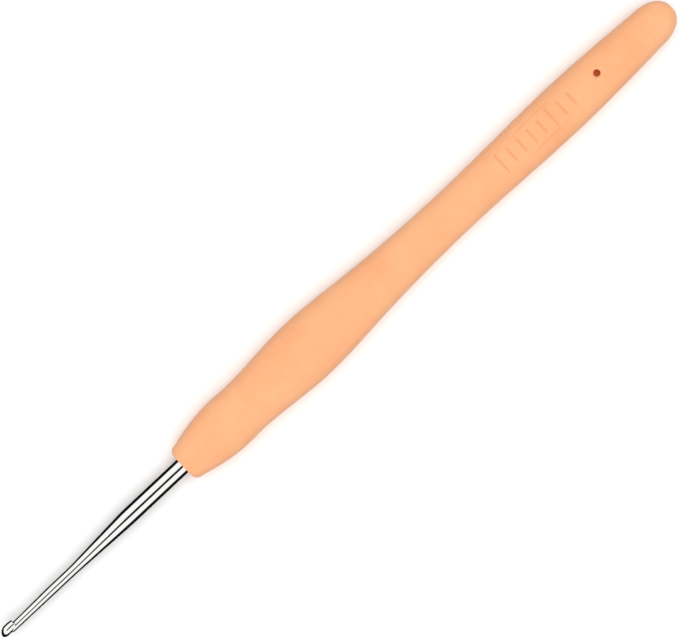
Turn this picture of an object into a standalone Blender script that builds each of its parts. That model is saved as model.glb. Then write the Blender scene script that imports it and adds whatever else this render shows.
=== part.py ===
"""A crochet hook with a moulded grip: a steel hook, a stiff core and a soft skin.

The steel is one piece of wire, made as two solids, its head and its shaft, that meet at the
neck with a hairline gap. Metres, +Z up. The hook lies along X with its tip at -X. It rests
at z = 0 on the flat underside of its thumb rest and on the swell that sits in the palm.
"""

import math

import bmesh
import bpy
from mathutils import Vector

MM = 0.001

# Overall sizes
GRIP_LENGTH = 102.0 * MM  # from the flat front face to the rounded rear end
EXPOSED_LENGTH = 38.0 * MM  # steel that stands out of the grip
FLAT_THICKNESS = 7.2 * MM  # across the two flats of the thumb rest

# Grip outline: width and thickness at each place, then how fast their halves grow there.
# The first group is placed from the front face, the second from the rear end.
FRONT_STATIONS = (
    # place, width, thickness, width slope, thickness slope
    (1.4 * MM, 6.28 * MM, 5.50 * MM, 0.28, 0.25),  # behind the rounded front edge
    (9.6 * MM, 8.76 * MM, 6.90 * MM, 0.0, 0.02),  # collar
    (12.4 * MM, 8.58 * MM, 7.00 * MM, 0.0, 0.02),  # dip behind the collar
    (25.8 * MM, 10.12 * MM, 7.46 * MM, 0.0, 0.0),  # thumb rest, before its flats
    (36.0 * MM, 8.88 * MM, 7.10 * MM, -0.086, -0.03),  # fall towards the waist
)
REAR_STATIONS = (
    (44.5 * MM, 7.12 * MM, 6.20 * MM, 0.0, 0.0),  # waist
    (23.0 * MM, 7.96 * MM, FLAT_THICKNESS, 0.0, 0.0),  # palm swell, level with the flats
    (5.1 * MM, 6.66 * MM, 6.04 * MM, -0.055, -0.05),  # where the rounded end starts
)
FRONT_FACE_WIDTH = 4.6 * MM  # flat part of the front face
END_ROUNDNESS = 2.3  # 2 is an ellipse, more is blunter
SECTION_SQUARENESS = 2.2  # 2 is an ellipse, more is squarer

# Grip walls
SKIN_THICKNESS = 1.2 * MM  # soft skin over the core
FRONT_WALL = 2.4 * MM  # soft skin ahead of the core
KEY_DEPTH = 0.45 * MM  # grooves round the core that lock the skin
KEY_PITCH = 11.0 * MM
KEY_WIDTH = 4.0 * MM
KEYS_START = 12.0 * MM  # middle of the first groove, from the front face
KEYS_END = 20.0 * MM  # no groove is nearer than this to the rear end

# Steel hook
HOOK_SIZE = 1.5 * MM  # diameter of the working shaft
SHANK_DIAMETER = 2.6 * MM
TAPER_LENGTH = 13.5 * MM
WORKING_LENGTH = 13.6 * MM  # working shaft and head
SHAFT_DROP = 0.35 * MM  # the working shaft sits this far behind the shank's axis
HEAD_DIAMETER = 1.54 * MM
HEAD_LIFT = 0.54 * MM  # from the working shaft's axis to the head's, towards the mouth
HEAD_RISE = 1.6 * MM  # length over which the head's axis bends from one to the other
NOSE_LENGTH = 1.2 * MM
NOSE_ROUNDNESS = 1.8
NOSE_FLAT = 0.6  # share of the first ring's radius that is left flat at the nose
LIP_REACH = 2.75 * MM  # from the nose to the lip's edge
LIP_DROP = 0.1 * MM  # the head narrows by this towards the lip's edge
LIP_DROP_START = 0.7  # share of the lip's reach where that narrowing starts
LIP_EDGE_HEIGHT = 0.85 * MM  # underside of the lip's edge, over the working shaft's axis
THROAT_START = 1.4 * MM  # deepest point under the lip, from the nose
THROAT_CORNER_HEIGHT = 0.35 * MM  # that point, over the working shaft's axis
NECK_DIAMETER = 1.28 * MM  # slimmer part of the shaft that clears the throat
NECK_SET_BACK = 0.15 * MM  # its axis lies this far behind the working shaft's
NECK_ROOT = 0.5 * MM  # it runs out into the head over this length each side of the throat
NECK_PAST_LIP = 0.25 * MM  # it stays level to this far past the lip's edge, then grows
NECK_GROWTH = 8.0 * MM  # length over which it grows to the full shaft
MOUTH_ANGLE = math.radians(30.0)  # from straight up towards +Y

# Tang, inside the grip
TANG_LENGTH = 36.0 * MM
PADDLE_LENGTH = 10.0 * MM  # pressed flat, so the steel can't turn in the core
PADDLE_WIDTH = 3.4 * MM
PADDLE_THICKNESS = 1.5 * MM

# Round hole left by the pin that holds the core in the mould
PIN_HOLE_DIAMETER = 1.1 * MM
PIN_HOLE_FROM_REAR = 15.6 * MM
PIN_HOLE_SIDE = 0.46 * MM
PIN_SEAT_DEPTH = 0.4 * MM  # into the core

# Clearances
CORE_CLEARANCE = 0.3 * MM  # core to skin
TANG_CLEARANCE = 0.3 * MM  # steel to core
HEAD_CLEARANCE = 0.3 * MM  # the steel's head to its shaft
MOUTH_CLEARANCE = 0.3 * MM  # steel to the skin's front opening

# Fineness
AROUND = 24  # points round the grip, the steel and the holes
OUTSIDE_STEP = 3.0 * MM
KEY_STEPS = 4
END_STEPS = 6
HEAD_STEPS = 16
HEAD_SPACING = 1.5  # 1 is even, more packs the head's rings towards the nose
SLOPE_STEP = 0.02 * MM  # either side of a place, to find how fast the outline grows
SHARP_ANGLE = math.radians(35.0)  # edges bent further than this stay crisp

OVERALL_LENGTH = GRIP_LENGTH + EXPOSED_LENGTH
NECK_LEVEL_END = LIP_REACH + NECK_PAST_LIP  # from the nose
NECK_HEIGHT = -SHAFT_DROP - NECK_SET_BACK
TIP_X = -OVERALL_LENGTH / 2
FRONT_X = TIP_X + EXPOSED_LENGTH
REAR_X = FRONT_X + GRIP_LENGTH
AXIS_Z = FLAT_THICKNESS / 2


def clear_scene():
    for old in list(bpy.data.objects):
        bpy.data.objects.remove(old, do_unlink=True)


def new_collection(name):
    group = bpy.data.collections.new(name)
    bpy.context.scene.collection.children.link(group)
    return group


def material(name, colour, roughness, metallic):
    finish = bpy.data.materials.new(name)
    finish.use_nodes = True
    shader = finish.node_tree.nodes["Principled BSDF"]
    shader.inputs["Base Color"].default_value = (*colour, 1.0)
    shader.inputs["Roughness"].default_value = roughness
    shader.inputs["Metallic"].default_value = metallic
    return finish


def add_object(name, mesh, group):
    piece = bpy.data.objects.new(name, mesh)
    group.objects.link(piece)
    return piece


def as_helper(piece):
    piece.hide_render = True
    piece.display_type = "WIRE"
    return piece


def combine(piece, helper, operation):
    modifier = piece.modifiers.new(f"{operation.lower()}_{helper.name}", "BOOLEAN")
    modifier.operation = operation
    modifier.solver = "EXACT"
    modifier.object = helper


def finish_piece(piece, finish):
    piece.data.materials.append(finish)
    piece.data.shade_smooth()
    piece.data.set_sharp_from_angle(angle=SHARP_ANGLE)


def smooth_step(share):
    share = min(max(share, 0.0), 1.0)
    return share * share * (3 - 2 * share)


# Grip form


def outline_stations():
    rear = [(GRIP_LENGTH - place, *rest) for place, *rest in REAR_STATIONS]
    return [*FRONT_STATIONS, *rear]


def between_stations(place):
    """Half width, half thickness on the smooth curve through the stations."""
    stations = outline_stations()
    index = 0
    while index < len(stations) - 2 and place > stations[index + 1][0]:
        index += 1
    before, after = stations[index], stations[index + 1]
    length = after[0] - before[0]
    t = (place - before[0]) / length
    value_a = 1 - 3 * t**2 + 2 * t**3
    slope_a = t - 2 * t**2 + t**3
    slope_b = t**3 - t**2
    halves = []
    for size, slope in ((1, 3), (2, 4)):
        level = value_a * before[size] / 2 + (1 - value_a) * after[size] / 2
        halves.append(level + length * (slope_a * before[slope] + slope_b * after[slope]))
    return halves


def outside_at(place):
    """Half width, half thickness of the skin's outside, with both ends rounded."""
    first = outline_stations()[0][0]
    last = outline_stations()[-1][0]
    if place < first:
        wide, thick = between_stations(first)
        swell = math.sqrt(1 - (1 - place / first) ** 2)
        face = FRONT_FACE_WIDTH / 2
        return [face + (half - face) * swell for half in (wide, thick)]
    if place > last:
        wide, thick = between_stations(last)
        share = min((place - last) / (GRIP_LENGTH - last), 1.0)
        narrow = (1 - share**END_ROUNDNESS) ** (1 / END_ROUNDNESS)
        return [wide * narrow, thick * narrow]
    return between_stations(place)


def inside_at(place, depth):
    """Place, half width, half thickness of a point sunk by depth below the outside."""
    low = outside_at(max(place - SLOPE_STEP, 0))
    high = outside_at(min(place + SLOPE_STEP, GRIP_LENGTH))
    slope = (sum(high) - sum(low)) / (4 * SLOPE_STEP)
    lean = math.sqrt(1 + slope**2)
    wide, thick = outside_at(place)
    thick = min(thick, FLAT_THICKNESS / 2)
    return place + depth * slope / lean, wide - depth / lean, thick - depth / lean


def key_middles():
    room = GRIP_LENGTH - KEYS_END - KEYS_START
    count = int(room / KEY_PITCH) + 1
    return [KEYS_START + index * KEY_PITCH for index in range(count)]


def key_depth_at(place):
    """Depth of the locking grooves, 0 between them."""
    for middle in key_middles():
        away = abs(place - middle) / (KEY_WIDTH / 2)
        if away < 1:
            return KEY_DEPTH * smooth_step(2 * (1 - away))
    return 0.0


def oval(place, wide, thick):
    """One ring of the grip, flattened where it is thicker than the thumb rest's flats."""
    ring = []
    for index in range(AROUND):
        angle = 2 * math.pi * index / AROUND
        across, up = math.cos(angle), math.sin(angle)
        y = math.copysign(abs(across) ** (2 / SECTION_SQUARENESS), across) * wide
        z = math.copysign(abs(up) ** (2 / SECTION_SQUARENESS), up) * thick
        z = min(max(z, -FLAT_THICKNESS / 2), FLAT_THICKNESS / 2)
        ring.append(Vector((FRONT_X + place, y, AXIS_Z + z)))
    return ring


def circle(place, radius):
    ring = []
    for index in range(AROUND):
        angle = 2 * math.pi * index / AROUND
        ring.append(pole_at(place) + Vector((0, radius * math.cos(angle), radius * math.sin(angle))))
    return ring


def loft(name, rings, first_pole, last_pole, group):
    """A closed body through rings of equal count, ended by a point or by a flat face."""
    shape = bmesh.new()
    loops = [[shape.verts.new(point) for point in ring] for ring in rings]
    count = len(rings[0])
    for near, far in zip(loops, loops[1:]):
        for index in range(count):
            after = (index + 1) % count
            shape.faces.new((near[index], near[after], far[after], far[index]))
    for loop, pole in ((loops[0], first_pole), (loops[-1], last_pole)):
        if pole is None:
            shape.faces.new(loop)
            continue
        tip = shape.verts.new(pole)
        for index in range(count):
            shape.faces.new((loop[index], loop[(index + 1) % count], tip))
    bmesh.ops.recalc_face_normals(shape, faces=shape.faces)
    mesh = bpy.data.meshes.new(name)
    shape.to_mesh(mesh)
    shape.free()
    return add_object(name, mesh, group)


def spread(start, end, step):
    count = max(1, math.ceil((end - start) / step))
    return [start + (end - start) * index / count for index in range(count)]


def outside_places():
    """From the front face to just short of the rear pole, closer together at both ends."""
    first = outline_stations()[0][0]
    last = outline_stations()[-1][0]
    quarter = [math.pi / 2 * index / END_STEPS for index in range(END_STEPS)]
    front = [first * (1 - math.cos(turn)) for turn in quarter]
    rear = [last + (GRIP_LENGTH - last) * math.sin(turn) for turn in quarter]
    return front + spread(first, last, OUTSIDE_STEP) + rear


def interface_places():
    """Places along the core, with enough of them across each locking groove."""
    last = outline_stations()[-1][0]
    places = []
    reached = FRONT_WALL
    for middle in key_middles():
        start = middle - KEY_WIDTH / 2
        places += spread(reached, start, OUTSIDE_STEP * 2)
        places += spread(start, start + KEY_WIDTH, KEY_WIDTH / KEY_STEPS)
        reached = start + KEY_WIDTH
    quarter = [math.pi / 2 * index / END_STEPS for index in range(END_STEPS)]
    rear = [last + (GRIP_LENGTH - last) * math.sin(turn) for turn in quarter]
    return places + spread(reached, last, OUTSIDE_STEP * 2) + rear


def interface_rings(depth):
    """Rings sunk by depth and by the grooves; the first one stands square at the core's front."""
    rings = []
    for place in interface_places():
        sunk, wide, thick = inside_at(place, depth + key_depth_at(place))
        rings.append(oval(place if place == FRONT_WALL else sunk, wide, thick))
    return rings


def pole_at(place):
    return Vector((FRONT_X + place, 0, AXIS_Z))


def make_core(group):
    rings = interface_rings(SKIN_THICKNESS)
    return loft("grip_core", rings, None, pole_at(GRIP_LENGTH - SKIN_THICKNESS), group)


def make_skin(group):
    """Rear pole, forward over the outside, in at the mouth, back along the inside to its pole."""
    outer = [oval(place, *outside_at(place)) for place in outside_places()]
    depth = SKIN_THICKNESS - CORE_CLEARANCE
    inner = interface_rings(depth)
    front_gap = FRONT_WALL - CORE_CLEARANCE
    inner[0] = [Vector((FRONT_X + front_gap, point.y, point.z)) for point in inner[0]]
    opening = SHANK_DIAMETER / 2 + MOUTH_CLEARANCE
    mouth = [circle(0, opening), circle(front_gap, opening)]
    rings = outer[::-1] + mouth + inner
    return loft("soft_grip", rings, pole_at(GRIP_LENGTH), pole_at(GRIP_LENGTH - depth), group)


# Steel hook


def mouth_point(along, height, across):
    """A point placed from the nose: along the hook, towards the mouth, and across it."""
    lift, side = math.cos(MOUTH_ANGLE), math.sin(MOUTH_ANGLE)
    y = height * side - across * lift
    z = height * lift + across * side
    return Vector((TIP_X + along, y, AXIS_Z + z))


def steel_loft(name, stations, group):
    """A round body through (distance from the nose, height towards the mouth, diameter)."""
    rings = []
    for along, height, diameter in stations:
        ring = []
        for index in range(AROUND):
            angle = 2 * math.pi * index / AROUND
            rise = diameter / 2 * math.cos(angle)
            across = diameter / 2 * math.sin(angle)
            ring.append(mouth_point(along, height + rise, across))
        rings.append(ring)
    return loft(name, rings, None, None, group)


def neck_stations():
    """From inside the head to where the neck starts to grow."""
    return [
        (THROAT_START - NECK_ROOT, -SHAFT_DROP, NECK_DIAMETER / 2),
        (THROAT_START + NECK_ROOT, NECK_HEIGHT, NECK_DIAMETER),
        (NECK_LEVEL_END, NECK_HEIGHT, NECK_DIAMETER),
    ]


def shaft_stations():
    """From the neck, just behind the head, to the end of the tang's round part."""
    neck_end = NECK_LEVEL_END + NECK_GROWTH
    taper_end = WORKING_LENGTH + TAPER_LENGTH
    tang_end = EXPOSED_LENGTH + TANG_LENGTH - PADDLE_LENGTH / 2
    return [
        (NECK_LEVEL_END + HEAD_CLEARANCE, NECK_HEIGHT, NECK_DIAMETER),
        (neck_end, -SHAFT_DROP, HOOK_SIZE),
        (WORKING_LENGTH, -SHAFT_DROP, HOOK_SIZE),
        (taper_end, 0, SHANK_DIAMETER),
        (tang_end, 0, SHANK_DIAMETER),
    ]


def head_stations():
    """Blunt round nose, then level to a little past the lip's edge."""
    stations = []
    for index in range(1, HEAD_STEPS + 1):
        along = (LIP_REACH + HOOK_SIZE / 3) * (index / HEAD_STEPS) ** HEAD_SPACING
        share = max(1 - along / NOSE_LENGTH, 0)
        diameter = HEAD_DIAMETER * (1 - share**NOSE_ROUNDNESS) ** (1 / NOSE_ROUNDNESS)
        dropped = smooth_step((along / LIP_REACH - LIP_DROP_START) / (1 - LIP_DROP_START))
        diameter -= 2 * LIP_DROP * dropped
        rise = math.sin(math.pi / 2 * min(along / HEAD_RISE, 1))
        stations.append((along, HEAD_LIFT * rise - SHAFT_DROP, diameter))
    height, diameter = stations[0][1:]
    return [(0.0, height, diameter * NOSE_FLAT)] + stations


def make_throat_cutter(group):
    """Cuts the head off square past the lip, and everything under the slanted lip."""
    reach = HEAD_DIAMETER
    outline = [
        (LIP_REACH, reach),
        (LIP_REACH, LIP_EDGE_HEIGHT - SHAFT_DROP),
        (THROAT_START, THROAT_CORNER_HEIGHT - SHAFT_DROP),
        (THROAT_START, -reach),
        (LIP_REACH + reach, -reach),
        (LIP_REACH + reach, reach),
    ]
    sides = [[mouth_point(*point, across) for point in outline] for across in (-reach, reach)]
    return as_helper(loft("throat_cutter", sides, None, None, group))


def box(name, low, high, group):
    shape = bmesh.new()
    bmesh.ops.create_cube(shape, size=1.0)
    size = Vector(high) - Vector(low)
    middle = (Vector(high) + Vector(low)) / 2
    bmesh.ops.scale(shape, vec=size, verts=shape.verts)
    bmesh.ops.translate(shape, vec=middle, verts=shape.verts)
    mesh = bpy.data.meshes.new(name)
    shape.to_mesh(mesh)
    shape.free()
    return as_helper(add_object(name, mesh, group))


def cylinder(name, radius, length, place, group):
    """A round helper whose lower end is at place, with its axis along Z."""
    shape = bmesh.new()
    bmesh.ops.create_cone(
        shape, cap_ends=True, segments=AROUND, radius1=radius, radius2=radius, depth=length
    )
    bmesh.ops.translate(shape, vec=Vector((0, 0, length / 2)), verts=shape.verts)
    mesh = bpy.data.meshes.new(name)
    shape.to_mesh(mesh)
    shape.free()
    piece = as_helper(add_object(name, mesh, group))
    piece.location = place
    return piece


def make_paddle(name, clearance, group):
    """The tang's flat end, or the room for it."""
    end = FRONT_X + TANG_LENGTH
    wide = PADDLE_WIDTH / 2 + clearance
    thick = PADDLE_THICKNESS / 2 + clearance
    low = (end - PADDLE_LENGTH - clearance, -wide, AXIS_Z - thick)
    high = (end + clearance, wide, AXIS_Z + thick)
    return box(name, low, high, group)


def make_tang_bore(group):
    """Room in the core for the round part of the tang."""
    bore = cylinder(
        "tang_bore",
        SHANK_DIAMETER / 2 + TANG_CLEARANCE,
        TANG_LENGTH - PADDLE_LENGTH / 2 + TANG_CLEARANCE,
        (FRONT_X, 0, AXIS_Z),
        group,
    )
    bore.rotation_euler = (0, math.pi / 2, 0)
    return bore


def make_head(parts, helpers):
    """Nose, lip and the level part of the neck."""
    head = steel_loft("hook_head", head_stations(), parts)
    combine(head, make_throat_cutter(helpers), "DIFFERENCE")
    neck = as_helper(steel_loft("neck_blank", neck_stations(), helpers))
    neck.data.shade_smooth()
    combine(head, neck, "UNION")
    return head


def make_shaft(parts, helpers):
    """Working shaft, taper, shank and tang."""
    shaft = steel_loft("hook_shaft", shaft_stations(), parts)
    combine(shaft, make_paddle("paddle_blank", 0, helpers), "UNION")
    return shaft


def pin_hole(name, bottom, group):
    place = (REAR_X - PIN_HOLE_FROM_REAR, PIN_HOLE_SIDE, bottom)
    return cylinder(name, PIN_HOLE_DIAMETER / 2, FLAT_THICKNESS - bottom + MM, place, group)


def main():
    clear_scene()
    parts = new_collection("crochet_hook")
    helpers = new_collection("cutters")

    head = make_head(parts, helpers)
    shaft = make_shaft(parts, helpers)
    core = make_core(parts)
    skin = make_skin(parts)

    combine(core, make_tang_bore(helpers), "DIFFERENCE")
    combine(core, make_paddle("paddle_room", TANG_CLEARANCE, helpers), "DIFFERENCE")
    core_top = AXIS_Z + inside_at(GRIP_LENGTH - PIN_HOLE_FROM_REAR, SKIN_THICKNESS)[2]
    combine(core, pin_hole("pin_seat", core_top - PIN_SEAT_DEPTH, helpers), "DIFFERENCE")
    combine(skin, pin_hole("pin_hole", AXIS_Z, helpers), "DIFFERENCE")

    for piece in (head, shaft):
        finish_piece(piece, material(f"plated_steel_{piece.name}", (0.78, 0.78, 0.80), 0.12, 1.0))
    finish_piece(core, material("moulded_abs", (0.82, 0.33, 0.14), 0.45, 0.0))
    finish_piece(skin, material("soft_elastomer", (0.95, 0.48, 0.24), 0.62, 0.0))


main()
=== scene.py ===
# A crochet hook lying on a pale surface: plated steel hook, hidden ABS core, soft moulded grip.

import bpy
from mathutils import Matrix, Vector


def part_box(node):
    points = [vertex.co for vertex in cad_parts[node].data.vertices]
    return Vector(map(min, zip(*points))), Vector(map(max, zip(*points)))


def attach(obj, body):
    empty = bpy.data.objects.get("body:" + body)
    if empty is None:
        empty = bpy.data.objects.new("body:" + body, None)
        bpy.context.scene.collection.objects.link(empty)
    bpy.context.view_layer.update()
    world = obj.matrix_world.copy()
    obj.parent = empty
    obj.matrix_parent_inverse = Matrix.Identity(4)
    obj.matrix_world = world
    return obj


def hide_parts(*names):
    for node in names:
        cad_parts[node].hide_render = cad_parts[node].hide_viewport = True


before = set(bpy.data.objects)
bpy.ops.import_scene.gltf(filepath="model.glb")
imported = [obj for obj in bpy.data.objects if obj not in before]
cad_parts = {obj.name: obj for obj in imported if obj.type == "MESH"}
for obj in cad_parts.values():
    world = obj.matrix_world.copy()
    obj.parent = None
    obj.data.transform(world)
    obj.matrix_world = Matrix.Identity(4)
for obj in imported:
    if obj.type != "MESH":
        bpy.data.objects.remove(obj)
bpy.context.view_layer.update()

import math

import bpy
import numpy as np

mm = 0.001
gripLow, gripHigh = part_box("soft_grip")
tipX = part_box("hook_head")[0][0]
frontX, rearX = gripLow[0], gripHigh[0]
gripLength = rearX - frontX
flatHalf = (gripHigh[2] - gripLow[2]) / 2  # half the thickness across the thumb rest's flats
axisZ = (gripHigh[2] + gripLow[2]) / 2
circle = 2.0  # squareness of a round section
print("frame loaded, grip", round(gripLength / mm, 2), "mm long")


def hexColour(text):
    # sRGB hex to linear, with alpha
    levels = [int(text[i:i + 2], 16) / 255 for i in (1, 3, 5)]
    linear = [v / 12.92 if v <= 0.04045 else ((v + 0.055) / 1.055) ** 2.4 for v in levels]
    return (*linear, 1.0)


def addNode(tree, kind, settings=None, links=None):
    # settings: attribute or socket name -> value; links: socket name or index -> output socket
    node = tree.nodes.new(kind)
    for key, value in (settings or {}).items():
        if isinstance(key, str) and hasattr(node, key):
            setattr(node, key, value)
        else:
            node.inputs[key].default_value = value
    for key, output in (links or {}).items():
        tree.links.new(output, node.inputs[key])
    return node


def newMaterial(name, settings):
    made = bpy.data.materials.new(name)
    made.use_nodes = True
    shader = made.node_tree.nodes["Principled BSDF"]
    for key, value in settings.items():
        shader.inputs[key].default_value = value
    return made, made.node_tree, shader


def addPiece(name, mesh):
    piece = bpy.data.objects.new(name, mesh)
    bpy.context.scene.collection.objects.link(piece)
    return piece


def ringMesh(name, rings):
    # a closed body through rings of equal count, with a pole at each end
    rings = np.asarray(rings)
    count, around = rings.shape[:2]
    poles = [rings[0].mean(0), rings[-1].mean(0)]
    points = np.concatenate([rings.reshape(-1, 3), poles])
    row = np.arange(around)
    after = (row + 1) % around
    faces = []
    for index in range(count - 1):
        near, far = index * around, (index + 1) * around
        faces += list(zip(near + row, near + after, far + after, far + row))
    last = (count - 1) * around
    first = count * around
    caps = list(zip(after, row, np.full(around, first)))
    caps += list(zip(last + row, last + after, np.full(around, first + 1)))
    mesh = bpy.data.meshes.new(name)
    mesh.from_pydata(points.tolist(), [], [tuple(int(i) for i in f) for f in faces + caps])
    mesh.update()
    return faceOutwards(mesh)


def faceOutwards(mesh):
    if signedVolume(mesh) < 0:
        mesh.flip_normals()
    mesh.shade_smooth()
    return mesh


def signedVolume(mesh):
    mesh.calc_loop_triangles()
    points = np.empty(len(mesh.vertices) * 3)
    mesh.vertices.foreach_get("co", points)
    corners = np.empty(len(mesh.loop_triangles) * 3, dtype=np.int32)
    mesh.loop_triangles.foreach_get("vertices", corners)
    a, b, c = points.reshape(-1, 3)[corners.reshape(-1, 3)].transpose(1, 0, 2)
    return float((a * np.cross(b, c)).sum() / 6)


def smoothStep(share):
    share = np.clip(share, 0.0, 1.0)
    return share * share * (3 - 2 * share)


def applyModifiers(piece):
    bpy.context.view_layer.update()
    evaluated = piece.evaluated_get(bpy.context.evaluated_depsgraph_get())
    mesh = bpy.data.meshes.new_from_object(evaluated)
    piece.modifiers.clear()
    old = piece.data
    piece.data = mesh
    bpy.data.meshes.remove(old)
    return piece


def joinPiece(piece, other, operation):
    join = piece.modifiers.new(operation, "BOOLEAN")
    join.operation = operation
    join.solver = "EXACT"
    join.object = other
    applyModifiers(piece)
    bpy.data.objects.remove(other, do_unlink=True)


def startTree(name, values):
    # a Geometry Nodes tree with one named input for each value, and its output left open
    tree = bpy.data.node_groups.new(name, "GeometryNodeTree")
    kinds = {int: "NodeSocketInt", float: "NodeSocketFloat", tuple: "NodeSocketVector"}
    tree.interface.new_socket("Geometry", in_out="INPUT", socket_type="NodeSocketGeometry")
    for label, value in values.items():
        tree.interface.new_socket(label, in_out="INPUT", socket_type=kinds[type(value)])
    tree.interface.new_socket("Material", in_out="INPUT", socket_type="NodeSocketMaterial")
    tree.interface.new_socket("Geometry", in_out="OUTPUT", socket_type="NodeSocketGeometry")
    return tree, addNode(tree, "NodeGroupInput").outputs


def finishTree(tree, given, shape):
    # every tree ends in real geometry with its material
    plain = addNode(tree, "GeometryNodeRealizeInstances", {}, {0: shape})
    smooth = addNode(tree, "GeometryNodeSetShadeSmooth", {}, {"Geometry": plain.outputs[0]})
    finished = addNode(tree, "GeometryNodeSetMaterial", {}, {
        "Geometry": smooth.outputs[0], "Material": given["Material"]})
    addNode(tree, "NodeGroupOutput", {}, {0: finished.outputs[0]})
    return tree


def runTree(piece, tree, values, material):
    modifier = piece.modifiers.new(tree.name, "NODES")
    modifier.node_group = tree
    settings = {**values, "Material": material}
    for item in tree.interface.items_tree:
        if item.in_out == "INPUT" and item.name in settings:
            modifier[item.identifier] = settings[item.name]
    return applyModifiers(piece)


grip = {
    # place from the front face, half width, half thickness, and how fast each grows there
    "frontStations": (
        (1.4 * mm, 3.14 * mm, 2.75 * mm, 0.28, 0.25),
        (9.6 * mm, 4.38 * mm, 3.45 * mm, 0.0, 0.02),
        (12.4 * mm, 4.29 * mm, 3.50 * mm, 0.0, 0.02),
        (25.8 * mm, 5.06 * mm, 3.73 * mm, 0.0, 0.0),
        (36.0 * mm, 4.44 * mm, 3.55 * mm, -0.086, -0.03),
    ),
    # the same, placed from the rear end
    "rearStations": (
        (44.5 * mm, 3.56 * mm, 3.10 * mm, 0.0, 0.0),
        (23.0 * mm, 3.98 * mm, 3.60 * mm, 0.0, 0.0),
        (5.1 * mm, 3.33 * mm, 3.02 * mm, -0.055, -0.05),
    ),
    "faceHalf": 2.3 * mm,
    "endRoundness": 2.3,
    "squareness": 2.2,
    "flatBlend": 0.2 * mm,  # how softly the thumb rest's flats start
    "mouthRadius": 1.325 * mm,
    "mouthRound": 0.16 * mm,
    "frontWall": 2.1 * mm,
    "skin": 0.9 * mm,
    "keyDepth": 0.45 * mm,
    "keyPitch": 11.0 * mm,
    "keyWidth": 4.0 * mm,
    "keysStart": 12.0 * mm,
    "keysEnd": 20.0 * mm,
    "partingHeight": 0.035 * mm,  # raised line where the two mould halves met
    "partingWidth": 0.16 * mm,
    "around": 176,
    "fineStart": 64.5 * mm,  # the moulded ticks lie between these, so the rings are closer
    "fineEnd": 83.0 * mm,
    "fineStep": 0.085 * mm,
    "coarseStep": 0.5 * mm,
    "insideStep": 1.0 * mm,
    "frontSteps": 15,  # rings over the rounded front, the rear end, the mouth and the mouth's wall
    "rearSteps": 27,
    "mouthSteps": 7,
    "wallSteps": 5,
    "insideRearSteps": 9,
}


def gripStations():
    rear = [(gripLength - place, *rest) for place, *rest in grip["rearStations"]]
    return [*grip["frontStations"], *rear]


def gripHalves(place):
    # half width and half thickness of the grip's outside
    stations = gripStations()
    first, last = stations[0][0], stations[-1][0]
    inner = min(max(place, first), last)
    index = 0
    while index < len(stations) - 2 and inner > stations[index + 1][0]:
        index += 1
    before, after = stations[index], stations[index + 1]
    length = after[0] - before[0]
    t = (inner - before[0]) / length
    keep = 1 - 3 * t**2 + 2 * t**3
    halves = []
    for size, slope in ((1, 3), (2, 4)):
        level = keep * before[size] + (1 - keep) * after[size]
        bend = (t - 2 * t**2 + t**3) * before[slope] + (t**3 - t**2) * after[slope]
        halves.append(level + length * bend)
    if place < first:
        swell = math.sqrt(1 - (1 - place / first) ** 2)
        return [grip["faceHalf"] + (half - grip["faceHalf"]) * swell for half in halves]
    if place > last:
        share = min((place - last) / (gripLength - last), 1.0)
        power = grip["endRoundness"]
        narrow = (1 - share**power) ** (1 / power)
        return [half * narrow for half in halves]
    return halves


def sunkSection(place, depth):
    # the section that lies depth below the outside, measured square to it
    step = 0.02 * mm
    low = gripHalves(max(place - step, 0))
    high = gripHalves(min(place + step, gripLength))
    slope = (sum(high) - sum(low)) / (4 * step)
    lean = math.sqrt(1 + slope**2)
    wide, thick = gripHalves(place)
    thick = min(thick, flatHalf)
    return place + depth * slope / lean, wide - depth / lean, thick - depth / lean


def keyDepth(place):
    # the skin's inside follows the locking grooves in the core
    middle = grip["keysStart"]
    while middle <= gripLength - grip["keysEnd"]:
        away = abs(place - middle) / (grip["keyWidth"] / 2)
        if away < 1:
            return grip["keyDepth"] * float(smoothStep(2 * (1 - away)))
        middle += grip["keyPitch"]
    return 0.0


def gripPlaces():
    stations = gripStations()
    first, last = stations[0][0], stations[-1][0]
    quarter = np.linspace(0, np.pi / 2, grip["frontSteps"])[:-1]
    pieces = [first * (1 - np.cos(quarter))]
    pieces.append(np.arange(first, grip["fineStart"], grip["coarseStep"]))
    pieces.append(np.arange(grip["fineStart"], grip["fineEnd"], grip["fineStep"]))
    pieces.append(np.arange(grip["fineEnd"], last, grip["coarseStep"]))
    tail = np.linspace(0, np.pi / 2, grip["rearSteps"])[:-1]
    pieces.append(last + (gripLength - last) * np.sin(tail))
    return np.concatenate(pieces)


def gripSections():
    # place, half width, half thickness, squareness: over the outside from the rear end to the
    # front, in at the mouth, and back along the inside
    oval = grip["squareness"]
    sections = [(place, *gripHalves(place), oval) for place in gripPlaces()][::-1]
    bend, wall = grip["mouthRound"], grip["frontWall"]
    for turn in np.linspace(0, np.pi / 2, grip["mouthSteps"]):
        radius = grip["mouthRadius"] + bend * (1 - math.sin(turn))
        sections.append((bend * (1 - math.cos(turn)), radius, radius, circle))
    for place in np.linspace(bend, wall, grip["wallSteps"])[1:]:
        sections.append((place, grip["mouthRadius"], grip["mouthRadius"], circle))
    last = gripStations()[-1][0]
    tail = np.linspace(0, np.pi / 2, grip["insideRearSteps"])[:-1]
    inside = [*np.arange(wall, last, grip["insideStep"]), *(last + (gripLength - last) * np.sin(tail))]
    for place in inside:
        sunk, wide, thick = sunkSection(place, grip["skin"] + keyDepth(place))
        sections.append((wall if place == wall else sunk, wide, thick, oval))
    return sections


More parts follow.
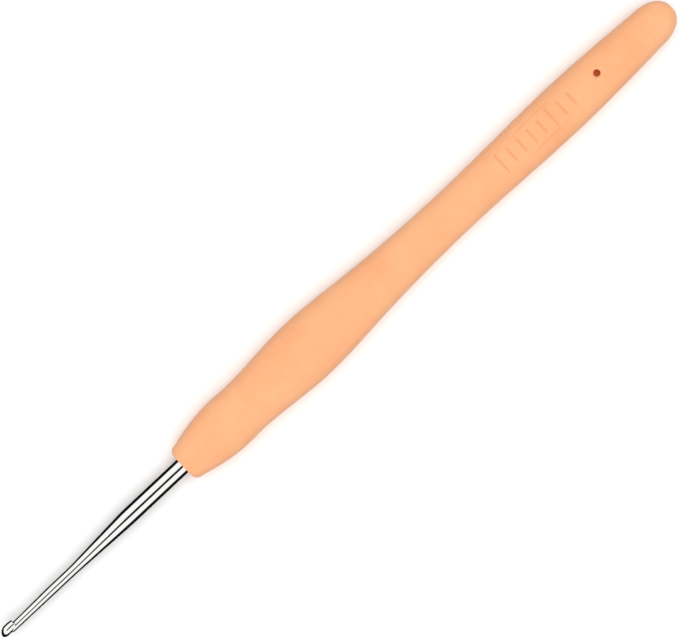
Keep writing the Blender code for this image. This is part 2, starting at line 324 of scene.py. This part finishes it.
def gripSpine():
    # one point for each section, which carries the section's sizes
    columns = ("place", "halfWide", "halfThick", "squareness")
    sections = gripSections()
    mesh = bpy.data.meshes.new("gripSpine")
    links = [(index, index + 1) for index in range(len(sections) - 1)]
    mesh.from_pydata([(index * mm, 0, 0) for index in range(len(sections))], links, [])
    for column, values in zip(columns, zip(*sections)):
        mesh.attributes.new(column, "FLOAT", "POINT").data.foreach_set("value", values)
    return mesh


gripForm = {
    "Around": grip["around"],
    "Front": frontX,
    "Axis Height": axisZ,
    "Flat Half": flatHalf,  # the thumb rest's flats cut the section off here
    "Flat Blend": grip["flatBlend"],
}


def gripTree():
    # sweeps a ring along the spine, then gives each ring its superellipse section
    tree, given = startTree("softGripForm", gripForm)
    ring = addNode(tree, "GeometryNodeCurvePrimitiveCircle", {}, {"Resolution": given["Around"]})
    order = addNode(tree, "GeometryNodeInputIndex")
    share = addNode(tree, "ShaderNodeMath", {"operation": "DIVIDE"}, {
        0: order.outputs[0], 1: given["Around"]})
    turn = addNode(tree, "ShaderNodeMath", {"operation": "MULTIPLY", 1: 2 * math.pi}, {0: share.outputs[0]})
    profile = addNode(tree, "GeometryNodeStoreNamedAttribute", {
        "data_type": "FLOAT", "domain": "POINT", "Name": "turn"}, {
        "Geometry": ring.outputs[0], "Value": turn.outputs[0]})
    spine = addNode(tree, "GeometryNodeMeshToCurve", {}, {"Mesh": given["Geometry"]})
    swept = addNode(tree, "GeometryNodeCurveToMesh", {"Fill Caps": True}, {
        "Curve": spine.outputs[0], "Profile Curve": profile.outputs[0]})

    worked = {name: given[name] for name in gripForm}
    for name in ("place", "halfWide", "halfThick", "squareness", "turn"):
        read = addNode(tree, "GeometryNodeInputNamedAttribute", {"data_type": "FLOAT", "Name": name})
        worked[name] = read.outputs["Attribute"]
    # radius of the unit superellipse at each turn, stretched, then flattened top and bottom
    for name, operation, *parts in (
        ("x", "ADD", "Front", "place"),
        ("across", "COSINE", "turn"),
        ("up", "SINE", "turn"),
        ("acrossSize", "ABSOLUTE", "across"),
        ("upSize", "ABSOLUTE", "up"),
        ("acrossPower", "POWER", "acrossSize", "squareness"),
        ("upPower", "POWER", "upSize", "squareness"),
        ("sum", "ADD", "acrossPower", "upPower"),
        ("root", "DIVIDE", -1.0, "squareness"),
        ("radius", "POWER", "sum", "root"),
        ("unitY", "MULTIPLY", "radius", "across"),
        ("y", "MULTIPLY", "unitY", "halfWide"),
        ("unitHeight", "MULTIPLY", "radius", "upSize"),
        ("fullHeight", "MULTIPLY", "unitHeight", "halfThick"),
        ("height", "SMOOTH_MIN", "fullHeight", "Flat Half", "Flat Blend"),
        ("side", "SIGN", "up"),
        ("rise", "MULTIPLY", "height", "side"),
        ("z", "ADD", "Axis Height", "rise"),
    ):
        node = addNode(tree, "ShaderNodeMath", {"operation": operation})
        for index, part in enumerate(parts):
            if isinstance(part, str):
                tree.links.new(worked[part], node.inputs[index])
            else:
                node.inputs[index].default_value = part
        worked[name] = node.outputs[0]
    point = addNode(tree, "ShaderNodeCombineXYZ", {}, {0: worked["x"], 1: worked["y"], 2: worked["z"]})
    moved = addNode(tree, "GeometryNodeSetPosition", {}, {
        "Geometry": swept.outputs[0], "Position": point.outputs[0]})
    return finishTree(tree, given, moved.outputs[0])


def raisePartingLine(mesh):
    # the thin line round the edge where the mould halves met
    points = np.empty(len(mesh.vertices) * 3)
    mesh.vertices.foreach_get("co", points)
    points = points.reshape(-1, 3)
    normals = np.empty(len(mesh.vertices) * 3)
    mesh.vertices.foreach_get("normal", normals)
    normals = normals.reshape(-1, 3)
    outside = (np.abs(normals[:, 1]) > 0.5) & (np.sign(normals[:, 1]) == np.sign(points[:, 1]))
    away = np.abs(points[:, 2] - axisZ) / grip["partingWidth"]
    lift = grip["partingHeight"] * np.exp(-away**2 * 2) * outside
    mesh.vertices.foreach_set("co", (points + normals * lift[:, None]).ravel())
    mesh.update()


def makeGrip(material):
    piece = addPiece("soft_grip_skin", gripSpine())
    runTree(piece, gripTree(), gripForm, material)
    for name in ("place", "halfWide", "halfThick", "squareness", "turn"):
        piece.data.attributes.remove(piece.data.attributes[name])
    raisePartingLine(faceOutwards(piece.data))
    return piece


tickScale = {
    "Row Start": (frontX + 66.6 * mm, 0.28 * mm, 0.0),
    "Row Step": (2.05 * mm, 0.0, 0.0),
    "Count": 8,
    "Tall Every": 5,
    "Tall": 3.3 * mm,
    "Short": 2.3 * mm,
    "Tick Floor": 0.1 * mm,  # half the groove's width, at its floor and at its top
    "Tick Edge": 0.26 * mm,
    "Tick Depth": 0.12 * mm,
    # two thin lines left by the mould insert, one each side of the row
    "Insert Start": (frontX + 70.9 * mm, 2.43 * mm, 0.0),
    "Insert Step": (1.2 * mm, -4.3 * mm, 0.0),
    "Insert Length": (7.0 * mm, 1.0, 1.0),
    "Insert Floor": 0.05 * mm,
    "Insert Edge": 0.13 * mm,
    "Insert Depth": 0.07 * mm,
    "Axis Height": axisZ,
}


def tickTree():
    # presses grooves into the top of the skin along guide lines that the tree draws itself
    tree, given = startTree("mouldedTickScale", tickScale)
    place = addNode(tree, "GeometryNodeInputPosition")
    fromAbove = addNode(tree, "ShaderNodeVectorMath", {"operation": "MULTIPLY", 1: (1, 1, 0)}, {
        0: place.outputs[0]})

    # a tick is a unit line on each point of a row, stretched to its length: tall, or short between
    order = addNode(tree, "GeometryNodeInputIndex")
    turnOf = addNode(tree, "ShaderNodeMath", {"operation": "MODULO"}, {
        0: order.outputs[0], 1: given["Tall Every"]})
    length = addNode(tree, "ShaderNodeMapRange", {}, {
        "Value": turnOf.outputs[0], "To Min": given["Tall"], "To Max": given["Short"]})
    stretch = addNode(tree, "ShaderNodeCombineXYZ", {0: 1.0, 2: 1.0}, {1: length.outputs[0]})
    grooves = []
    for kind, count, ends, start, step, scale in (
        ("Tick", given["Count"], ((0, -0.5, 0), (0, 0.5, 0)), "Row Start", "Row Step", stretch.outputs[0]),
        ("Insert", None, ((0, 0, 0), (1, 0, 0)), "Insert Start", "Insert Step", given["Insert Length"]),
    ):
        row = addNode(tree, "GeometryNodeMeshLine", {"mode": "OFFSET", "Count": 2}, {
            "Start Location": given[start], "Offset": given[step]})
        if count:
            tree.links.new(count, row.inputs["Count"])
        unit = addNode(tree, "GeometryNodeCurvePrimitiveLine", {"Start": ends[0], "End": ends[1]})
        edge = addNode(tree, "GeometryNodeCurveToMesh", {}, {"Curve": unit.outputs[0]})
        lines = addNode(tree, "GeometryNodeInstanceOnPoints", {}, {
            "Points": row.outputs[0], "Instance": edge.outputs[0], "Scale": scale})
        guides = addNode(tree, "GeometryNodeRealizeInstances", {}, {0: lines.outputs[0]})
        near = addNode(tree, "GeometryNodeProximity", {"target_element": "EDGES"}, {
            0: guides.outputs[0], "Sample Position": fromAbove.outputs[0]})
        groove = addNode(tree, "ShaderNodeMapRange", {"interpolation_type": "SMOOTHSTEP", "To Max": 0.0}, {
            "Value": near.outputs["Distance"],
            "From Min": given[f"{kind} Floor"],
            "From Max": given[f"{kind} Edge"],
            "To Min": given[f"{kind} Depth"],
        })
        grooves.append(groove.outputs[0])

    # only the upper outside is pressed
    normal = addNode(tree, "GeometryNodeInputNormal")
    facing = addNode(tree, "ShaderNodeSeparateXYZ", {}, {0: normal.outputs[0]})
    height = addNode(tree, "ShaderNodeSeparateXYZ", {}, {0: place.outputs[0]})
    isUp = addNode(tree, "ShaderNodeMath", {"operation": "GREATER_THAN", 1: 0.2}, {0: facing.outputs[2]})
    isTop = addNode(tree, "ShaderNodeMath", {"operation": "GREATER_THAN"}, {
        0: height.outputs[2], 1: given["Axis Height"]})
    both = addNode(tree, "ShaderNodeMath", {"operation": "MULTIPLY"}, {
        0: isUp.outputs[0], 1: isTop.outputs[0]})
    deepest = addNode(tree, "ShaderNodeMath", {"operation": "MAXIMUM"}, {0: grooves[0], 1: grooves[1]})
    pressed = addNode(tree, "ShaderNodeMath", {"operation": "MULTIPLY"}, {
        0: deepest.outputs[0], 1: both.outputs[0]})
    # kept for the material's painted groove shade, before the points move
    part = addNode(tree, "ShaderNodeMath", {"operation": "DIVIDE"}, {
        0: pressed.outputs[0], 1: given["Tick Depth"]})
    marked = addNode(tree, "GeometryNodeStoreNamedAttribute", {
        "data_type": "FLOAT", "domain": "POINT", "Name": "pressed"}, {
        "Geometry": given["Geometry"], "Value": part.outputs[0]})
    down = addNode(tree, "ShaderNodeMath", {"operation": "MULTIPLY", 1: -1.0}, {0: pressed.outputs[0]})
    inward = addNode(tree, "ShaderNodeVectorMath", {"operation": "SCALE"}, {
        0: normal.outputs[0], "Scale": down.outputs[0]})
    moved = addNode(tree, "GeometryNodeSetPosition", {}, {
        "Geometry": marked.outputs[0], "Offset": inward.outputs[0]})
    return finishTree(tree, given, moved.outputs[0])


pinHole = {
    "fromRear": 15.6 * mm,
    "side": 0.46 * mm,
    "radius": 0.55 * mm,
    "roundOver": 0.14 * mm,
    "depth": 2.0 * mm,
    "above": 0.6 * mm,  # how far the cutter stands over the surface
    "around": 48,
    "roundSteps": 7,
}


def cutPinHole(piece):
    # a turned cutter: straight wall, then a flare that rounds the hole's edge over
    place = gripLength - pinHole["fromRear"]
    wide, thick = gripHalves(place)
    share = (pinHole["side"] / wide) ** grip["squareness"]
    surface = axisZ + min(thick * (1 - share) ** (1 / grip["squareness"]), flatHalf)
    bend = pinHole["roundOver"]
    profile = [(pinHole["radius"], axisZ + thick - pinHole["depth"])]
    for turn in np.linspace(0, np.pi / 2, pinHole["roundSteps"]):
        radius = pinHole["radius"] + bend * (1 - math.cos(turn))
        profile.append((radius, surface - bend * (1 - math.sin(turn))))
    profile.append((pinHole["radius"] + bend, surface + pinHole["above"]))
    turns = np.arange(pinHole["around"]) * 2 * np.pi / pinHole["around"]
    rings = []
    for radius, height in profile:
        x = rearX - pinHole["fromRear"] + radius * np.cos(turns)
        y = pinHole["side"] + radius * np.sin(turns)
        rings.append(np.stack([x, y, np.full(len(turns), height)], axis=1))
    joinPiece(piece, addPiece("pinCutter", ringMesh("pinCutter", rings)), "DIFFERENCE")


steel = {
    "shaftRadius": 0.75 * mm,
    "shankRadius": 1.3 * mm,
    "exposed": 38.0 * mm,
    "workingLength": 13.6 * mm,
    "taperLength": 13.5 * mm,
    "shaftDrop": 0.35 * mm,
    "headRadius": 0.77 * mm,
    "headLift": 0.54 * mm,
    "headRise": 1.6 * mm,
    "noseLength": 1.2 * mm,
    "noseRoundness": 1.8,
    "lipReach": 2.75 * mm,
    "lipDrop": 0.1 * mm,
    "lipDropStart": 0.7,
    "lipHeight": 0.85 * mm,  # underside of the lip's edge, over the working shaft's axis
    "throatStart": 1.4 * mm,
    "throatHeight": 0.35 * mm,
    "neckRadius": 0.64 * mm,  # slimmer part that clears the throat
    "neckSetBack": 0.15 * mm,
    "neckRoot": 0.5 * mm,
    "neckLevelEnd": 3.0 * mm,
    "neckGrowth": 8.0 * mm,
    "neckEase": 0.3,
    "mouthAngle": math.radians(30),  # from straight up towards +Y
    "noseSteps": 30,
    "noseStart": 0.04,  # radians round the nose to its first ring
    "step": 0.06 * mm,  # between sections of the head and the neck
    "fineBeyond": 1.0 * mm,  # and as far as this past the level neck
    "shaftStep": 0.24 * mm,
    "lipRoll": 0.07 * mm,  # the lip's end is rolled over by polishing
    "rollSteps": 8,
    "cornerRound": 0.1 * mm,
    "cornerSteps": 9,
    "cutterReach": 1.5 * mm,  # how far the throat's cutter runs past the steel
    "tangLength": 36.0 * mm,
    "paddleLength": 10.0 * mm,
    "paddleHalfWidth": 1.7 * mm,
    "paddleHalfThickness": 0.75 * mm,
    "paddleSquareness": 8.0,
    "pressLength": 2.0 * mm,  # from round to flat
    "paddleChamfer": 0.25 * mm,
    "paddleLast": 0.3 * mm,  # the chamfer starts this far from the end
    "tangSteps": 12,
    "paddleSteps": 16,
    "around": 128,
    "sharpAngle": math.radians(35),
}


def easedRamp(share, ease=0.15):
    # 0 to 1 in a straight line, with both ends rounded off
    share = np.clip(share, 0, 1)
    slope = 1 / (1 - ease)
    middle = slope * (share - ease / 2)
    low = slope * share**2 / (2 * ease)
    high = 1 - slope * (1 - share) ** 2 / (2 * ease)
    return np.where(share < ease, low, np.where(share > 1 - ease, high, middle))


def shaftShape(u):
    # height of the middle towards the mouth, and the radius
    root = steel["neckRoot"]
    rooted = easedRamp((u - steel["throatStart"] + root) / (2 * root), steel["neckEase"])
    grown = easedRamp((u - steel["neckLevelEnd"]) / steel["neckGrowth"])
    taper = easedRamp((u - steel["workingLength"]) / steel["taperLength"])
    middle = -(steel["shaftDrop"] + steel["neckSetBack"] * rooted * (1 - grown)) * (1 - taper)
    radius = steel["neckRadius"] * (0.5 + 0.5 * rooted)
    radius = radius + (steel["shaftRadius"] - steel["neckRadius"]) * grown
    radius = radius + (steel["shankRadius"] - steel["shaftRadius"]) * taper
    return middle, radius


def steelRing(u, middle, wide, thick, power=circle):
    # a section at u from the tip, its middle raised towards the mouth
    turn = np.arange(steel["around"]) * 2 * np.pi / steel["around"]
    across, up = np.cos(turn), np.sin(turn)
    radius = (np.abs(across) ** power + np.abs(up) ** power) ** (-1 / power)
    y = math.sin(steel["mouthAngle"]) * middle + radius * across * wide
    z = axisZ + math.cos(steel["mouthAngle"]) * middle + radius * up * thick
    return np.stack([np.full(len(turn), tipX + u), y, z], axis=1)


def headRings():
    # blunt nose, level back, then the rolled end of the lip
    reach, roll = steel["lipReach"], steel["lipRoll"]
    turns = np.linspace(steel["noseStart"], np.pi / 2, steel["noseSteps"])
    nose = steel["noseLength"] * (1 - np.cos(turns))
    back = np.arange(steel["noseLength"] + steel["step"], reach - roll, steel["step"])
    rolled = reach - roll + roll * np.sin(np.linspace(0, np.pi / 2, steel["rollSteps"]))
    power, start = steel["noseRoundness"], steel["lipDropStart"]
    rings = []
    for u in np.concatenate([nose, back, rolled]):
        share = max(1 - u / steel["noseLength"], 0)
        radius = steel["headRadius"] * (1 - share**power) ** (1 / power)
        radius -= steel["lipDrop"] * float(smoothStep((u / reach - start) / (1 - start)))
        over = min(max((u - reach + roll) / roll, 0), 1)
        radius -= roll * (1 - math.sqrt(1 - over**2))
        rise = math.sin(math.pi / 2 * min(u / steel["headRise"], 1))
        rings.append(steelRing(u, steel["headLift"] * rise - steel["shaftDrop"], radius, radius))
    return rings


def throatCutter():
    # the open space under the slanted lip, with a rounded corner at its deepest point
    low = steel["throatHeight"] - steel["shaftDrop"]
    high = steel["lipHeight"] - steel["shaftDrop"]
    start, reach, bend = steel["throatStart"], steel["lipReach"], steel["cornerRound"]
    far = steel["cutterReach"]
    slant = math.atan2(high - low, reach - start)
    # the corner's arc touches the back wall and the lip's underside
    centre = (start + bend, low + bend * (math.tan(slant) - 1 / math.cos(slant)))
    outline = []
    for turn in np.linspace(math.pi, math.pi / 2 + slant, steel["cornerSteps"]):
        outline.append((centre[0] + bend * math.cos(turn), centre[1] + bend * math.sin(turn)))
    end = reach + far
    outline += [(end, high + (end - reach) * math.tan(slant)), (end, -far), (start, -far)]
    lift, side = math.cos(steel["mouthAngle"]), math.sin(steel["mouthAngle"])
    # the outline stands in the mouth's plane, and the cutter runs square to it, both ways
    ends = []
    for w in (-far, far):
        ends.append([(tipX + u, side * m - lift * w, axisZ + lift * m + side * w) for u, m in outline])
    return addPiece("throatCutter", ringMesh("throatCutter", ends))


def shaftRings():
    # neck, working shaft, taper and shank, then the tang pressed flat at its end
    start = steel["throatStart"] - steel["neckRoot"]
    fine = steel["neckLevelEnd"] + steel["fineBeyond"]
    end = steel["exposed"] + steel["tangLength"]
    press = end - steel["paddleLength"]
    places = np.concatenate([
        np.arange(start, fine, steel["step"]),
        np.arange(fine, steel["exposed"], steel["shaftStep"]),
        np.linspace(steel["exposed"], press, steel["tangSteps"])[:-1],
        np.linspace(press, end - steel["paddleLast"], steel["paddleSteps"]),
    ])
    rings = []
    for u in places:
        middle, radius = (float(value) for value in shaftShape(u))
        share = float(smoothStep((u - press) / steel["pressLength"]))
        wide = radius + (steel["paddleHalfWidth"] - radius) * share
        thick = radius + (steel["paddleHalfThickness"] - radius) * share
        power = circle + (steel["paddleSquareness"] - circle) * share
        rings.append(steelRing(u, middle, wide, thick, power))
    cut = steel["paddleChamfer"]
    rings.append(steelRing(end, 0.0, wide - cut, thick - cut, steel["paddleSquareness"]))
    return rings


def makeSteel(material):
    piece = addPiece("steel_hook_wire", ringMesh("steel_hook_wire", headRings()))
    joinPiece(piece, throatCutter(), "DIFFERENCE")
    joinPiece(piece, addPiece("wireShaft", ringMesh("wireShaft", shaftRings())), "UNION")
    piece.data.shade_smooth()
    piece.data.set_sharp_from_angle(angle=steel["sharpAngle"])
    piece.data.materials.clear()
    piece.data.materials.append(material)
    return piece


def softTouchElastomer():
    # thermoplastic elastomer moulded in a spark-eroded tool: matte and faintly translucent,
    # with a fine even grain
    made, tree, shader = newMaterial("softTouchElastomer", {
        "Roughness": 0.62,
        "IOR": 1.48,
        "Specular IOR Level": 0.35,
        "Subsurface Weight": 0.18,
        "Subsurface Radius": (1.0, 0.42, 0.2),
        "Subsurface Scale": 0.9 * mm,
        "Sheen Weight": 0.18,
        "Sheen Roughness": 0.38,
        "Sheen Tint": hexColour("#D5E2EC"),
    })
    place = addNode(tree, "ShaderNodeTexCoord").outputs["Object"]
    # pigment drifts a little over 8 mm and more finely over 1.5 mm
    drift = addNode(tree, "ShaderNodeTexNoise", {"Scale": 1 / (8 * mm), "Detail": 2.0}, {"Vector": place})
    fine = addNode(tree, "ShaderNodeTexNoise", {"Scale": 1 / (1.5 * mm), "Detail": 3.0}, {"Vector": place})
    both = addNode(tree, "ShaderNodeMix", {"data_type": "FLOAT", "Factor": 0.35}, {
        "A": drift.outputs["Fac"], "B": fine.outputs["Fac"]})
    tint = addNode(tree, "ShaderNodeValToRGB", {}, {"Fac": both.outputs[0]})
    tint.color_ramp.elements[0].position, tint.color_ramp.elements[0].color = 0.35, hexColour("#F4AC7C")
    tint.color_ramp.elements[1].position, tint.color_ramp.elements[1].color = 0.65, hexColour("#F7B586")
    # painted shade: the floor of each tick is coloured darker, in place of the shade that falls in the
    # groove
    pressed = addNode(tree, "ShaderNodeAttribute", {"attribute_name": "pressed"})
    deep = addNode(tree, "ShaderNodeMath", {"operation": "MULTIPLY", 1: 0.42}, {0: pressed.outputs["Fac"]})
    # the mix node's colour sockets are A 6, B 7 and Result 2
    # painted shade colour for the tick floors
    paintedGrooveShade = addNode(tree, "ShaderNodeMix", {"data_type": "RGBA", 7: hexColour("#D98F5C")}, {
        0: deep.outputs[0], 6: tint.outputs["Color"]})
    tree.links.new(paintedGrooveShade.outputs[2], shader.inputs["Base Color"])
    # eroded grain, about 0.12 mm, drawn coarser than the real 0.05 mm so that it shows
    grain = addNode(tree, "ShaderNodeTexNoise", {"Scale": 1 / (0.12 * mm), "Detail": 2.0}, {"Vector": place})
    matte = addNode(tree, "ShaderNodeMapRange", {"To Min": 0.56, "To Max": 0.7}, {
        "Value": grain.outputs["Fac"]})
    tree.links.new(matte.outputs[0], shader.inputs["Roughness"])
    bump = addNode(tree, "ShaderNodeBump", {"Strength": 0.25, "Distance": 0.01 * mm}, {
        "Height": grain.outputs["Fac"]})
    tree.links.new(bump.outputs[0], shader.inputs["Normal"])
    return made


def nickelPlatedSteel():
    # polished bright nickel over steel wire: near mirror, with faint lines drawn along its length
    made, tree, shader = newMaterial("nickelPlatedSteel", {
        "Base Color": hexColour("#F2F1EF"),
        "Metallic": 1.0,
        "Roughness": 0.09,
    })
    place = addNode(tree, "ShaderNodeTexCoord").outputs["Object"]
    # polishing lines run along X, 0.08 mm apart
    stretched = addNode(tree, "ShaderNodeMapping", {"Scale": (0.03, 1.0, 1.0)}, {"Vector": place})
    lines = addNode(tree, "ShaderNodeTexNoise", {"Scale": 1 / (0.08 * mm), "Detail": 2.0}, {
        "Vector": stretched.outputs[0]})
    haze = addNode(tree, "ShaderNodeTexNoise", {"Scale": 1 / (4 * mm), "Detail": 3.0}, {"Vector": place})
    blend = addNode(tree, "ShaderNodeMath", {"operation": "MULTIPLY"}, {
        0: lines.outputs["Fac"], 1: haze.outputs["Fac"]})
    rough = addNode(tree, "ShaderNodeMapRange", {"From Max": 0.6, "To Min": 0.06, "To Max": 0.14}, {
        "Value": blend.outputs[0]})
    tree.links.new(rough.outputs[0], shader.inputs["Roughness"])
    tone = addNode(tree, "ShaderNodeValToRGB", {}, {"Fac": haze.outputs["Fac"]})
    tone.color_ramp.elements[0].color = hexColour("#EFEEEC")
    tone.color_ramp.elements[1].color = hexColour("#F6F6F4")
    tree.links.new(tone.outputs["Color"], shader.inputs["Base Color"])
    bump = addNode(tree, "ShaderNodeBump", {"Strength": 0.06, "Distance": 0.004 * mm}, {
        "Height": lines.outputs["Fac"]})
    tree.links.new(bump.outputs[0], shader.inputs["Normal"])
    return made


def mouldedAbs():
    # ABS core in the grip's colour, straight from the tool: even and slightly glossy, with a
    # little flow streaking
    made, tree, shader = newMaterial("mouldedAbs", {"Roughness": 0.42, "IOR": 1.53})
    place = addNode(tree, "ShaderNodeTexCoord").outputs["Object"]
    stretched = addNode(tree, "ShaderNodeMapping", {"Scale": (0.2, 1.0, 1.0)}, {"Vector": place})
    flow = addNode(tree, "ShaderNodeTexNoise", {"Scale": 1 / (2 * mm), "Detail": 3.0}, {
        "Vector": stretched.outputs[0]})
    tint = addNode(tree, "ShaderNodeValToRGB", {}, {"Fac": flow.outputs["Fac"]})
    tint.color_ramp.elements[0].color = hexColour("#DE6428")
    tint.color_ramp.elements[1].color = hexColour("#E87334")
    tree.links.new(tint.outputs["Color"], shader.inputs["Base Color"])
    rough = addNode(tree, "ShaderNodeMapRange", {"To Min": 0.36, "To Max": 0.5}, {
        "Value": flow.outputs["Fac"]})
    tree.links.new(rough.outputs[0], shader.inputs["Roughness"])
    return made


def paleTableTop():
    # smooth white laminate, just uneven enough not to look drawn
    made, tree, shader = newMaterial("paleTableTop", {"Roughness": 0.85, "Specular IOR Level": 0.1})
    place = addNode(tree, "ShaderNodeTexCoord").outputs["Object"]
    speckle = addNode(tree, "ShaderNodeTexNoise", {"Scale": 1 / (30 * mm), "Detail": 2.0}, {"Vector": place})
    tint = addNode(tree, "ShaderNodeValToRGB", {}, {"Fac": speckle.outputs["Fac"]})
    tint.color_ramp.elements[0].color = hexColour("#FAFAF9")
    tint.color_ramp.elements[1].color = hexColour("#FDFDFC")
    tree.links.new(tint.outputs["Color"], shader.inputs["Base Color"])
    return made


stage = {
    "seenWidth": 103.5 * mm,  # what the picture spans at the hook's height
    "lens": 135.0,
    "roll": math.radians(-43.19),  # the hook runs from lower left to upper right
    "shiftRight": 0.475 * mm,
    "floorSide": 6.0,
    "floorDrop": 0.02 * mm,  # keeps the floor from sharing a plane with the grip
    "skyLight": 0.38,  # what the plain sky gives to matt surfaces
    "skySeen": 1.0,  # how bright it looks behind the floor
    "skyMirrored": 1.06,  # brightness of the studio that shows in gloss
    "tentStart": 0.04,  # height of a direction on the unit sphere
    "tentFull": 0.18,
    "tentFloor": 0.006,  # brightness below the tent, and under the shade
    "shadeLevel": 0.02,
    "shadeDirection": (0.0, -0.0926, 0.9957),
    "shadeStretch": (0.45, 1.0, 1.0),
    "shadeInner": math.radians(12),
    "shadeOuter": math.radians(18),
    "lampStrength": 2.5,
    "lampSpread": math.radians(64),  # a broad soft source
    "lampTilt": (math.radians(3), math.radians(-3), 0.0),
}


def makeCamera():
    lens = bpy.data.cameras.new("tableCamera")
    lens.type = "PERSP"
    lens.lens = stage["lens"]
    lens.clip_start = 0.01
    lens.clip_end = 50
    camera = bpy.data.objects.new("tableCamera", lens)
    bpy.context.scene.collection.objects.link(camera)
    height = stage["seenWidth"] * lens.lens / lens.sensor_width
    roll = stage["roll"]
    right = np.array([math.cos(roll), math.sin(roll)])
    middle = np.array([(tipX + rearX) / 2, 0.0]) + right * stage["shiftRight"]
    camera.location = (middle[0], middle[1], axisZ + height)
    camera.rotation_euler = (0, 0, roll)
    bpy.context.scene.camera = camera


def makeFloor():
    half, low = stage["floorSide"] / 2, -stage["floorDrop"]
    mesh = bpy.data.meshes.new("paleFloor")
    corners = [(-half, -half, low), (half, -half, low), (half, half, low), (-half, half, low)]
    mesh.from_pydata(corners, [], [(0, 1, 2, 3)])
    floor = addPiece("paleFloor", mesh)
    floor.data.materials.append(paleTableTop())
    floor.visible_glossy = False  # gloss sees the studio's dark lower half instead


def makeSky():
    world = bpy.data.worlds.new("softStudio")
    bpy.context.scene.world = world
    world.use_nodes = True
    tree = world.node_tree
    rays = addNode(tree, "ShaderNodeLightPath")
    strength = addNode(tree, "ShaderNodeMapRange", {
        "To Min": stage["skyLight"], "To Max": stage["skySeen"]}, {"Value": rays.outputs["Is Camera Ray"]})
    plain = addNode(tree, "ShaderNodeBackground", {"Color": (1, 1, 1, 1)}, {
        "Strength": strength.outputs[0]})

    # in gloss the studio is dark from the floor up to a white tent
    direction = addNode(tree, "ShaderNodeTexCoord").outputs["Generated"]
    parts = addNode(tree, "ShaderNodeSeparateXYZ", {}, {0: direction})
    tent = addNode(tree, "ShaderNodeMapRange", {
        "From Min": stage["tentStart"], "From Max": stage["tentFull"], "To Min": stage["tentFloor"]}, {
        "Value": parts.outputs[2]})
    # the camera and its arm: a dark patch overhead, longer along X and a little towards -Y
    squeezed = addNode(tree, "ShaderNodeVectorMath", {"operation": "MULTIPLY", 1: stage["shadeStretch"]}, {
        0: direction})
    unit = addNode(tree, "ShaderNodeVectorMath", {"operation": "NORMALIZE"}, {0: squeezed.outputs[0]})
    toShade = addNode(tree, "ShaderNodeVectorMath", {
        "operation": "DOT_PRODUCT", 1: stage["shadeDirection"]}, {0: unit.outputs[0]})
    shade = addNode(tree, "ShaderNodeMapRange", {
        "interpolation_type": "SMOOTHSTEP",
        "From Min": math.cos(stage["shadeOuter"]),
        "From Max": math.cos(stage["shadeInner"]),
        "To Min": 1.0,
        "To Max": stage["shadeLevel"],
    }, {"Value": toShade.outputs["Value"]})
    lit = addNode(tree, "ShaderNodeMath", {"operation": "MULTIPLY"}, {
        0: tent.outputs[0], 1: shade.outputs[0]})
    mirrored = addNode(tree, "ShaderNodeBackground", {"Strength": stage["skyMirrored"]}, {
        "Color": lit.outputs[0]})
    both = addNode(tree, "ShaderNodeMixShader", {}, {
        0: rays.outputs["Is Glossy Ray"], 1: plain.outputs[0], 2: mirrored.outputs[0]})
    tree.links.new(both.outputs[0], tree.nodes["World Output"].inputs["Surface"])


def makeLamp():
    light = bpy.data.lights.new("overheadLamp", "SUN")
    light.energy = stage["lampStrength"]
    light.angle = stage["lampSpread"]
    lamp = bpy.data.objects.new("overheadLamp", light)
    bpy.context.scene.collection.objects.link(lamp)
    lamp.rotation_euler = stage["lampTilt"]
    lamp.visible_glossy = False


makeCamera()
makeFloor()
makeSky()
makeLamp()
view = bpy.context.scene.view_settings
view.view_transform = "Standard"
print("stage made")

elastomer = softTouchElastomer()
skin = makeGrip(elastomer)
runTree(skin, tickTree(), tickScale, elastomer)
cutPinHole(skin)
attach(skin, "root")
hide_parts("soft_grip")
print("grip made,", len(skin.data.polygons), "faces")

wire = makeSteel(nickelPlatedSteel())
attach(wire, "root")
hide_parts("hook_head", "hook_shaft")
print("steel made,", len(wire.data.polygons), "faces")

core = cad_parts["grip_core"]
for slot in core.material_slots:
    slot.material = mouldedAbs()
print("core finished")
